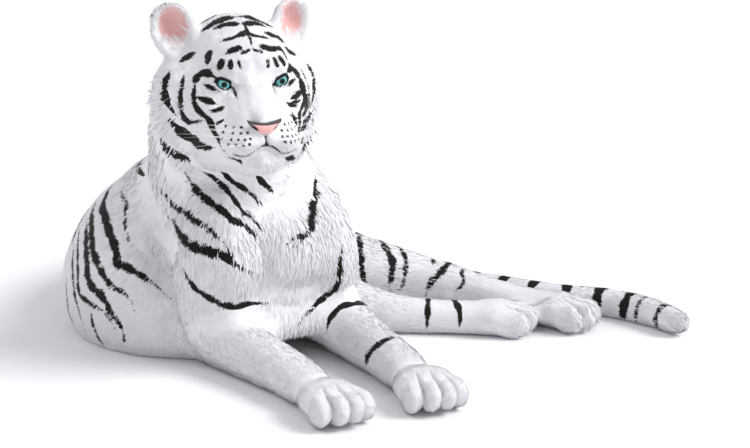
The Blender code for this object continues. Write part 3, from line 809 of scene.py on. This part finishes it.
def node_in(tree, kind, sockets=(), **settings):
    """A new node; each socket named gets a constant or, given another node's output, a link from it."""
    node = tree.nodes.new("ShaderNode" + kind)
    for key, value in settings.items():
        setattr(node, key, value)
    for socket, value in dict(sockets).items():
        if isinstance(value, bpy.types.NodeSocket):
            tree.links.new(value, node.inputs[socket])
        else:
            node.inputs[socket].default_value = value
    return node


def colour_mix(tree, factor, first, second, **settings):
    sockets = {"Factor": factor, "A": first, "B": second}
    return node_in(tree, "Mix", sockets, data_type="RGBA", **settings).outputs["Result"]


def factor_of(tree, name):
    return node_in(tree, "Attribute", attribute_name=name).outputs["Fac"]


def finish_of(name, sockets):
    """A new material, its node tree and its shader, with constants on the shader's sockets."""
    made = bpy.data.materials.new(name)
    made.use_nodes = True
    shader = made.node_tree.nodes["Principled BSDF"]
    for socket, value in sockets.items():
        shader.inputs[socket].default_value = value
    return made, made.node_tree, shader


def coat_material(name, hairs):
    """White over black by the stripe attribute, pink and dark by theirs, painted shade at the tufts' roots,
    and fine hair in the bump.
    """
    sockets = {"Roughness": 0.62, "Specular IOR Level": 0.15, "Sheen Weight": 0.04, "Sheen Roughness": 0.5}
    made, tree, shader = finish_of(name, sockets)
    place = node_in(tree, "TexCoord").outputs["Object"]
    ragged = node_in(tree, "TexNoise", {"Vector": place, "Scale": 260, "Detail": 2}).outputs["Fac"]
    sockets = {0: ragged, 1: 0.002 if hairs else 0.004, 2: factor_of(tree, "stripe")}
    edge = node_in(tree, "Math", sockets, operation="MULTIPLY_ADD").outputs["Value"]
    first, last = (0.0006, 0.0014) if hairs else (0.0014, 0.0026)
    sockets = {"Value": edge, "From Min": first, "From Max": last, "To Min": 1, "To Max": 0}
    black = node_in(tree, "MapRange", sockets).outputs["Result"]
    tone = node_in(tree, "TexNoise", {"Vector": place, "Scale": 9, "Detail": 3}).outputs["Fac"]
    white = colour_mix(tree, tone, (0.72, 0.72, 0.75, 1), (0.90, 0.90, 0.91, 1))
    ink_colour = (0.008, 0.007, 0.008, 1)
    if hairs:
        # Painted shade: on the tufts white and black are both darker at each hair's root and lighter towards
        # its tip, where the coat would shade its own roots.
        tip = factor_of(tree, "tip")
        white = colour_mix(tree, tip, (0.74, 0.74, 0.77, 1), white)
        ink_colour = colour_mix(tree, tip, (0.005, 0.004, 0.005, 1), (0.014, 0.012, 0.013, 1))
    colour = colour_mix(tree, black, white, ink_colour)
    colour = colour_mix(tree, factor_of(tree, "pink"), colour, (0.78, 0.45, 0.43, 1))
    colour = colour_mix(tree, factor_of(tree, "dark"), colour, (0.012, 0.010, 0.010, 1))
    tree.links.new(colour, shader.inputs["Base Color"])
    if not hairs:
        streaks = node_in(tree, "TexNoise", {"Vector": place, "Scale": 420, "Detail": 3}).outputs["Fac"]
        raised = node_in(tree, "Bump", {"Strength": 0.5, "Distance": 0.002, "Height": streaks})
        tree.links.new(raised.outputs["Normal"], shader.inputs["Normal"])
    return made


skin.data.materials.append(coat_material("short_coat", False))
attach(skin, "root")
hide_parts(*flesh)


# The coat: flat tapering tufts of hair, each rooted in the skin and laid along the body, close and short on
# the face and feet, longer on the neck and longest on the ruff of the cheeks and before the ears.
TUFTS = 262000
MOST_IN_PIECE = 38000  # of 5 triangles each
ALONG = np.array((0.0, 0.42, 0.76, 1.0))  # rows of a tuft, from root to tip
WIDE = np.array((0.60, 1.0, 0.70))  # its breadth at each row but the tip
ROW_OF_POINT = (0, 0, 1, 1, 2, 2, 3)
CORNERS = len(ROW_OF_POINT)
LEAF = [(0, 2, 3, 1), (2, 4, 5, 3)]
LEAF_TIP = (4, 6, 5)
BLACK_SPREAD = 0.055  # of the hair's length
PATCH_HALF = 0.0015  # half the breadth of a tuft's patch on the unwrap
HAIR_CLEARS = 0.0008  # of the floor

bpy.context.view_layer.objects.active = skin
skin.select_set(True)
while skin.data.uv_layers:
    skin.data.uv_layers.remove(skin.data.uv_layers[0])
skin.data.uv_layers.new(name="OFBake")
bpy.ops.object.mode_set(mode="EDIT")
bpy.ops.mesh.select_all(action="SELECT")
bpy.ops.uv.smart_project(angle_limit=1.15, island_margin=0.002)
bpy.ops.object.mode_set(mode="OBJECT")

faces = rows_of(skin.data.polygons, "vertices", 3, np.int32)
unwrapped = rows_of(skin.data.uv_layers["OFBake"].data, "uv", 2).reshape(-1, 3, 2)
wide = 0.0010 + 0.060 * length
bare = np.clip(np.maximum(dark * 1.5, in_ear * 0.60) + ramp(-co[:, 2], -0.004, -0.001), 0, 1)
bare = np.maximum(bare, np.where(near, ramp(-lid_gap, -0.0045, -0.002), 0))
triangles = co[faces]
sides = np.cross(triangles[:, 1] - triangles[:, 0], triangles[:, 2] - triangles[:, 0])
area = lengths(sides) / 2
crowd = area * ((1 - bare) / (wide * length))[faces].mean(1)
chosen = chance.choice(len(faces), TUFTS, p=crowd / crowd.sum())
share = chance.random((TUFTS, 2))
share[share.sum(1) > 1] = 1 - share[share.sum(1) > 1]
weights = np.c_[1 - share.sum(1), share]


def at_roots(values):
    """A value of the skin at each root: the mean of its triangle's corners, by nearness."""
    if values.ndim == 1:
        return (values[faces[chosen]] * weights).sum(1)
    return (values[faces[chosen]] * weights[:, :, None]).sum(1)


root = at_roots(co)
out = unit(at_roots(normal))
flow = at_roots(lie)
flow = unit(flow - out * (flow * out).sum(1)[:, None])
long = at_roots(length) * chance.uniform(0.75, 1.2, TUFTS)
broad = at_roots(wide) * chance.uniform(0.75, 1.25, TUFTS)
ragged = chance.normal(0, 1, TUFTS) * (0.0005 + long * BLACK_SPREAD)
root_uv = (unwrapped[chosen] * weights[:, :, None]).sum(1)
across = np.cross(out, flow)
stray = chance.normal(0, 0.16, TUFTS)[:, None]
flow = unit(flow + across * stray)
across = np.cross(out, flow)
twist = chance.normal(0, 0.22, TUFTS)[:, None]
across = across * np.cos(twist) + out * np.sin(twist)
lift = np.radians(chance.uniform(4, 11, TUFTS))[:, None]
curl = chance.normal(0, 0.10, TUFTS)[:, None]
rows = []
for t in ALONG:
    middle = root - out * (0.0001 + 0.03 * long[:, None]) + flow * (long[:, None] * t * np.cos(lift))
    middle += out * (long[:, None] * np.sin(lift) * (t - 0.38 * t * t))
    middle += across * (long[:, None] * curl * t * t)
    rows.append(middle)
points = []
for t, scale, middle in zip(ALONG, WIDE, rows):
    half = across * (broad * scale / 2)[:, None]
    points += [middle - half, middle + half]
points.append(rows[-1])
points = np.stack(points, axis=1)
points[:, :, 2] = np.maximum(points[:, :, 2], HAIR_CLEARS)
values = np.stack([to_stripe(root + flow * (long[:, None] * t)) + ragged for t in ALONG], axis=1)
values += (ALL_BLACK - values) * at_roots(ear_back)[:, None]
values = values[:, ROW_OF_POINT]
lean = unit(out + across * chance.normal(0, 0.10, TUFTS)[:, None] + flow * 0.10)
tip = ALONG[list(ROW_OF_POINT)]
patch = np.stack([np.tile([-1, 1], 4)[:CORNERS], tip * 2 - 1], axis=1)
patch[-1] = (0, 1)
side_of_head = on_head(root) < 1
nearest = np.full(TUFTS, 0)
best = np.full(TUFTS, 9.0)
for index, name in enumerate(BONES):
    places = FRAMES[name][0][::4]
    for part in chunks(TUFTS, 20000):
        gap = lengths(root[part, None] - places, 2).min(1) / BONES[name][0]
        closer = gap < best[part]
        nearest[part] = np.where(closer, index, nearest[part])
        best[part] = np.where(closer, gap, best[part])
region = np.where(side_of_head, 0, nearest + 1)
coat = coat_material("tufts", True)
for index, name in enumerate(["head", *BONES]):
    members = np.flatnonzero(region == index)
    for number, start in enumerate(range(0, len(members), MOST_IN_PIECE)):
        mine = members[start : start + MOST_IN_PIECE]
        count = len(mine)
        first = np.arange(count)[:, None] * CORNERS
        quads = np.concatenate([first + LEAF[0], first + LEAF[1]], axis=1).reshape(count, 8)
        loops = np.concatenate([quads, first + LEAF_TIP], axis=1).ravel()
        sizes = np.tile((4, 4, 3), count)
        mesh = bpy.data.meshes.new(f"coat_{name}_{number + 1}")
        mesh.vertices.add(count * CORNERS)
        mesh.vertices.foreach_set("co", points[mine].astype(np.float32).ravel())
        mesh.loops.add(len(loops))
        mesh.loops.foreach_set("vertex_index", loops.astype(np.int32))
        mesh.polygons.add(count * 3)
        mesh.polygons.foreach_set("loop_start", np.concatenate([[0], np.cumsum(sizes)[:-1]]).astype(np.int32))
        mesh.update(calc_edges=True)
        uv = root_uv[mine][:, None] + patch * PATCH_HALF
        layer = mesh.uv_layers.new(name="OFBake")
        layer.data.foreach_set("uv", uv.reshape(-1, 2)[loops].astype(np.float32).ravel())
        attribute(mesh, "stripe", values[mine].ravel())
        # tip: 0 at the root and a random 0.55 to 1 at the tip; the coat paints shade by it, darkest at the
        # root.
        attribute(mesh, "tip", np.tile(tip, count) * np.repeat(chance.uniform(0.55, 1.0, count), CORNERS))
        attribute(mesh, "pink", np.zeros(count * CORNERS))
        attribute(mesh, "dark", np.zeros(count * CORNERS))
        mesh.shade_smooth()
        mesh.normals_split_custom_set_from_vertices(np.repeat(lean[mine], CORNERS, axis=0))
        mesh.materials.append(coat)
        piece = placed(mesh.name, mesh)
        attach(piece, "root")


# The eyes: two glossy balls set deep between the lids, each with a black round pupil, a blue-green iris of
# fine fibres and a dark ring round it. They rest in the sockets and stay as they are.
PUPIL_EDGE = 17.0  # degrees from the middle of the eye's front
IRIS_EDGE = 46.0
CORNEA_RISE = 0.0011
EYE_ROWS = 72
LAST_BAND = 60  # degrees; the ball is dark from there back


def grid_piece(name, grid, wrap):
    """A mesh of quads over rows and columns of points; with wrap its last column joins its first."""
    rows, columns = grid.shape[:2]
    index = np.arange(rows * columns).reshape(rows, columns)
    beside = np.roll(index, -1, axis=1)
    corners = np.stack([index[:-1], index[1:], beside[1:], beside[:-1]], axis=-1)
    corners = corners if wrap else corners[:, :-1]
    mesh = bpy.data.meshes.new(name)
    mesh.from_pydata(grid.reshape(-1, 3).tolist(), [], corners.reshape(-1, 4).tolist())
    bm = bmesh.new()
    bm.from_mesh(mesh)
    bmesh.ops.holes_fill(bm, edges=[edge for edge in bm.edges if edge.is_boundary], sides=0 if wrap else 3)
    bmesh.ops.recalc_face_normals(bm, faces=bm.faces)
    bm.to_mesh(mesh)
    bm.free()
    mesh.shade_smooth()
    return placed(name, mesh)


def eyeball(side):
    """Rings round the gaze: radius R, and R + c cos^2(1.8 a) at an angle a under 50 degrees from it."""
    gaze, outward, upward = lid_axes()
    angle = np.radians(np.concatenate([np.linspace(0.4, 60, 46), np.linspace(64, 179.5, 26)]))[:, None]
    turn = np.linspace(0, 2 * np.pi, EYE_ROWS, endpoint=False)[None]
    rise = CORNEA_RISE * np.cos(np.clip(1.8 * angle, 0, np.pi / 2)) ** 2
    radius = (EYE_RADIUS - 0.0002 + rise)[..., None]
    ring = np.sin(angle)[..., None] * (np.cos(turn)[..., None] * outward + np.sin(turn)[..., None] * upward)
    points = EYE_PLACE + radius * (np.cos(angle)[..., None] * gaze + ring)
    degrees = np.broadcast_to(np.degrees(angle), (EYE_ROWS, EYE_ROWS))
    return from_head(points * (side, 1, 1)), degrees.ravel(), np.tile(turn, (EYE_ROWS, 1)).ravel()


sockets = {"Roughness": 0.5, "Specular IOR Level": 0.1}
sockets |= {"Coat Weight": 0.55, "Coat Roughness": 0.03, "Coat IOR": 1.33}
iris, tree, shader = finish_of("eye_gloss", sockets)
BANDS = [  # degrees from the middle of the eye's front, and the colour there
    (0.0, (0.002, 0.003, 0.003, 1)),
    (PUPIL_EDGE - 1, (0.002, 0.003, 0.003, 1)),
    (PUPIL_EDGE + 1, (0.050, 0.200, 0.190, 1)),
    (PUPIL_EDGE + 8, (0.200, 0.560, 0.540, 1)),
    (IRIS_EDGE - 12, (0.120, 0.440, 0.450, 1)),
    (IRIS_EDGE - 3, (0.030, 0.180, 0.210, 1)),
    (IRIS_EDGE, (0.006, 0.010, 0.012, 1)),
    (LAST_BAND, (0.012, 0.008, 0.008, 1)),
]
bands = node_in(tree, "ValToRGB", {"Fac": factor_of(tree, "outwards")})
while len(bands.color_ramp.elements) < len(BANDS):
    bands.color_ramp.elements.new(0.5)
for element, (angle, colour) in zip(bands.color_ramp.elements, BANDS):
    element.position = angle / LAST_BAND
for element, (angle, colour) in zip(bands.color_ramp.elements, BANDS):
    element.color = colour
fibre_place = node_in(tree, "Attribute", attribute_name="fibre").outputs["Vector"]
fibres = node_in(tree, "TexNoise", {"Vector": fibre_place, "Scale": 1.0, "Detail": 3}).outputs["Fac"]
sockets = {"Value": fibres, "From Min": 0.3, "From Max": 0.7, "To Min": 0.35, "To Max": 1.5}
lighter = node_in(tree, "MapRange", sockets).outputs["Result"]
colour = colour_mix(tree, 0.75, bands.outputs["Color"], lighter, blend_type="MULTIPLY")
tree.links.new(colour, shader.inputs["Base Color"])
for name, side in (("eye_left", 1), ("eye_right", -1)):
    points, degrees, turn = eyeball(side)
    eye = grid_piece(name + "_ball", points.reshape(EYE_ROWS, EYE_ROWS, 3), True)
    attribute(eye.data, "outwards", np.clip(degrees / LAST_BAND, 0, 1))
    fibre = np.c_[np.cos(turn) * 16, np.sin(turn) * 16, degrees * 0.035]
    fibre_data = eye.data.attributes.new("fibre", "FLOAT_VECTOR", "POINT").data
    fibre_data.foreach_set("vector", fibre.astype(np.float32).ravel())
    eye.data.materials.append(iris)
    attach(eye, "root")
    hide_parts(name)


# The nose: a pink pad of bare cobbled leather, widest at the top and dark round its edge, with painted shade
# in its nostril pits, drawn in to the groove of the upper lip. It is seated in the skin of the muzzle.
NOSE_TOP = -0.0270  # heights in the head's own axes
NOSE_FOOT = -0.0530
NOSE_HALF = 0.0320
NOSE_COLUMNS = 65
NOSE_ROWS = 45


def nose_pad():
    """Columns u across and rows v down: half width 32 mm (1 - v^1.6)^0.8 + 4.5 mm, pushed forward as a dome,
    with a pit on each side for the nostril and its border turned back into the muzzle."""
    u, v = np.meshgrid(np.linspace(-1, 1, NOSE_COLUMNS), np.linspace(0, 1, NOSE_ROWS))
    half = NOSE_HALF * (1 - v**1.6) ** 0.8 + 0.0045
    x = half * u
    z = NOSE_TOP + (NOSE_FOOT - NOSE_TOP) * v + (0.0060 * u**2 - 0.0025) * (1 - v)
    dome = 0.0125 * np.sin(np.pi * np.clip(0.10 + 0.72 * v, 0, 1)) ** 0.8 * (1 - 0.75 * u**2)
    y = -0.2095 - dome + 0.004 * v
    pit = np.exp(-(((np.abs(u) - 0.80 + 0.20 * (v - 0.5)) / 0.15) ** 2) - (((v - 0.46) / 0.20) ** 2))
    y += 0.0085 * pit
    y += 0.0022 * np.exp(-((u * half / 0.0014) ** 2)) * ramp(v, 0.35, 0.9)
    border = np.minimum(np.minimum(v, 1 - v) * 1.3, (1 - np.abs(u)) * 0.9)
    y += 0.012 * (1 - ramp(border, 0.0, 0.12)) ** 1.5
    wings = ramp(np.abs(u), 0.62, 0.92) * (1 - ramp(v, 0.55, 0.8))
    edges = np.maximum(1 - ramp(border, 0.06, 0.12), 1 - ramp(v, 0.13, 0.19))
    # Black round the edge and on the wings, and painted shade in the nostril pits.
    ink = np.maximum.reduce([edges, ramp(pit, 0.12, 0.5), 0.9 * wings])
    return from_head(np.stack([x, y, z], axis=-1)), ink.ravel()


pad_points, pad_ink_and_nostril_shade = nose_pad()
pad = grid_piece("nose_pad", pad_points, False)
attribute(pad.data, "ink", pad_ink_and_nostril_shade)
sockets = {"Roughness": 0.42, "Coat Weight": 0.25, "Coat Roughness": 0.25}
leather, tree, shader = finish_of("pink_nose_leather", sockets)
place = node_in(tree, "TexCoord").outputs["Object"]
patches = node_in(tree, "TexNoise", {"Vector": place, "Scale": 120}).outputs["Fac"]
pink = colour_mix(tree, patches, (0.80, 0.36, 0.34, 1), (0.90, 0.52, 0.49, 1))
# Black by the ink attribute: the leather's dark edge and wings, and painted shade in the nostril pits.
colour = colour_mix(tree, factor_of(tree, "ink"), pink, (0.016, 0.011, 0.012, 1))
tree.links.new(colour, shader.inputs["Base Color"])
cobbles = node_in(tree, "TexVoronoi", {"Vector": place, "Scale": 900}).outputs["Distance"]
raised = node_in(tree, "Bump", {"Strength": 0.35, "Distance": 0.0006, "Height": cobbles})
tree.links.new(raised.outputs["Normal"], shader.inputs["Normal"])
pad.data.materials.append(leather)
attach(pad, "root")
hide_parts("nose")


# The whiskers: stiff white hairs, thick at the root and drawn out to a point, that leave the dark spots of
# the muzzle outwards and back and hang a little at their ends.
WHISKER_THICK = 0.00045  # radius at the root
RINGS = 14
SIDES = 5
INNERMOST = 4  # the roots nearest the nose carry spots only


def whisker(root, out_of_skin, x, height, side):
    """A tube of 5 sides along root + out*l*t + curve*t^2, its radius r (1 - t)^0.7."""
    t = np.linspace(0, 1, RINGS)[:, None]
    reach = 0.040 + 0.9 * x * (0.9 + 0.2 * math.sin(900 * height + 60 * x))
    away = unit(out_of_skin + HEAD_AXES @ np.array((0.95 * side, -0.10, 0.10)))
    bend = HEAD_AXES @ np.array((0.22 * side, 0.55, -0.42 - 3.0 * (height + 0.065)))
    centres = root - out_of_skin * 0.002 + away * reach * t + bend * reach * t**2 * 0.55
    ahead = unit(np.gradient(centres, axis=0))
    level = unit(np.cross(ahead, (0, 0, 1)))
    upward = np.cross(level, ahead)
    turn = np.linspace(0, 2 * np.pi, SIDES, endpoint=False)[None, :, None]
    radius = (WHISKER_THICK * np.clip(1 - t, 0.02, 1) ** 0.7)[:, None]
    return centres[:, None] + radius * (np.cos(turn) * level[:, None] + np.sin(turn) * upward[:, None])


tubes = [whisker(*root) for root in whisker_roots[INNERMOST:]]
points = np.concatenate([tube.reshape(-1, 3) for tube in tubes])
ring = np.arange(RINGS - 1)[:, None] * SIDES + np.arange(SIDES)
beside = np.arange(RINGS - 1)[:, None] * SIDES + (np.arange(SIDES) + 1) % SIDES
quads = np.stack([ring, beside, beside + SIDES, ring + SIDES], axis=-1).reshape(-1, 4)
quads = np.concatenate([quads + RINGS * SIDES * number for number in range(len(tubes))])
mesh = bpy.data.meshes.new("whiskers")
mesh.from_pydata(points.tolist(), [], quads.tolist())
mesh.shade_smooth()
whiskers = placed("whiskers", mesh)
stiff, tree, shader = finish_of("whisker_hair", {"Roughness": 0.35})
place = node_in(tree, "TexCoord").outputs["Object"]
patches = node_in(tree, "TexNoise", {"Vector": place, "Scale": 60}).outputs["Fac"]
colour = colour_mix(tree, patches, (0.78, 0.78, 0.78, 1), (0.95, 0.95, 0.94, 1))
tree.links.new(colour, shader.inputs["Base Color"])
mesh.materials.append(stiff)
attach(whiskers, "root")


# The camera stands at the height of a person's chest, to the front and right, and looks a little down.
camera = placed("camera", bpy.data.cameras.new("camera"))
camera.data.sensor_width = 36
camera.data.lens = 100.6
camera.location = (-2.2695, -4.0339, 1.346)
camera.rotation_euler = (math.radians(76.40), 0, math.radians(-30.13))
bpy.context.scene.camera = camera


# A plain pale floor in an even white room, under a broad soft lamp from the front left of the animal and a
# weaker one from behind on its right.
floor_mesh = bpy.data.meshes.new("floor")
FLOOR = 60.0  # half its breadth
corners = [(-FLOOR, -FLOOR, 0), (FLOOR, -FLOOR, 0), (FLOOR, FLOOR, 0), (-FLOOR, FLOOR, 0)]
floor_mesh.from_pydata(corners, [], [(0, 1, 2, 3)])
floor = placed("floor", floor_mesh)
sockets = {"Base Color": (0.86, 0.86, 0.87, 1), "Roughness": 0.9, "Specular IOR Level": 0.1}
paint = finish_of("floor_paint", sockets)[0]
floor_mesh.materials.append(paint)
floor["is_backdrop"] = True
world = bpy.data.worlds.new("studio")
world.use_nodes = True
light = world.node_tree.nodes["Background"].inputs
light["Color"].default_value = (0.96, 0.97, 1.0, 1)
light["Strength"].default_value = 0.66
bpy.context.scene.world = world
LAMPS = {  # direction that the light comes from, angle that the lamp fills in degrees, strength
    "key": ((0.75, -0.62, 0.90), 35, 2.75),
    "rim": ((-0.75, 0.75, 0.80), 30, 0.5),
}
for name, (place, angle, power) in LAMPS.items():
    lamp = placed(name, bpy.data.lights.new(name, "SUN"))
    lamp.data.angle = math.radians(angle)
    lamp.data.energy = power
    lamp.rotation_euler = (-Vector(place)).to_track_quat("-Z", "Y").to_euler()
bpy.context.scene.view_settings.view_transform = "Standard"


new_low, new_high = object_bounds()
sizes = {"cad": [list(cad_low), list(cad_high)], "visual": [list(new_low), list(new_high)]}
